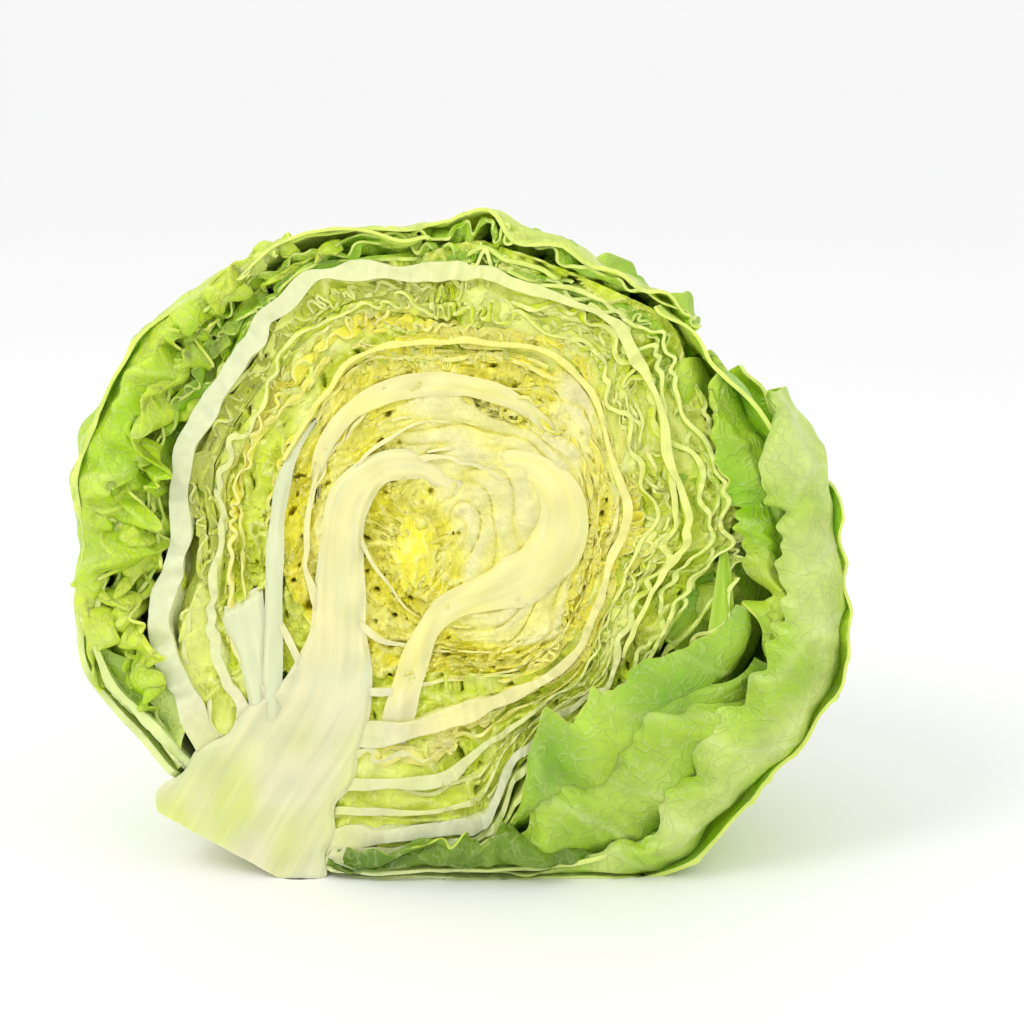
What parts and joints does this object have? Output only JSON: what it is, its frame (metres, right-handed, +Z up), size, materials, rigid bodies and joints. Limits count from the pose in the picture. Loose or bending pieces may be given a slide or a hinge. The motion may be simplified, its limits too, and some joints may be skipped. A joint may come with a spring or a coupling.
{
  "type": "halved lettuce head",
  "caption": "Half of a round leafy crisphead lettuce, cut lengthwise: a cream core with nested wrapper, head and heart leaves, standing on its pressed underside with the cut face showing.",
  "frame": {"origin": "on the surface the half stands on, in the middle of the flat spot pressed into its outer leaves", "axes": "+Z up; the cut face looks along -Y and leans back 10 degrees; +X to the right of the cut face, with the stem end at low -X"},
  "size_m": [0.1759, 0.0956, 0.1483],
  "materials": {
    "core": "moist cut flesh, satin",
    "wrapper_leaf": "waxy leaf, satin",
    "loose_leaf": "waxy leaf, satin",
    "head_leaf": "crisp pale leaf, satin",
    "heart_leaf": "crisp yellow leaf, satin",
    "heart_bud": "crisp yellow leaf, satin"
  },
  "bodies": {
    "root": {"core": "core", "wrapper_leaf_1": "wrapper_leaf", "wrapper_leaf_2": "wrapper_leaf", "wrapper_leaf_3": "wrapper_leaf", "wrapper_leaf_4": "wrapper_leaf", "wrapper_leaf_5": "wrapper_leaf", "loose_leaf_1": "loose_leaf", "loose_leaf_2": "loose_leaf", "loose_leaf_3": "loose_leaf", "head_leaf_1": "head_leaf", "head_leaf_2": "head_leaf", "head_leaf_3": "head_leaf", "head_leaf_4": "head_leaf", "head_leaf_5": "head_leaf", "head_leaf_6": "head_leaf", "head_leaf_7": "head_leaf", "head_leaf_8": "head_leaf", "heart_leaf_1": "heart_leaf", "heart_leaf_2": "heart_leaf", "heart_leaf_3": "heart_leaf", "heart_leaf_4": "heart_leaf", "heart_leaf_5": "heart_leaf", "heart_leaf_6": "heart_leaf", "heart_leaf_7": "heart_leaf", "heart_leaf_8": "heart_leaf", "heart_bud": "heart_bud"}
  },
  "joints": []
}
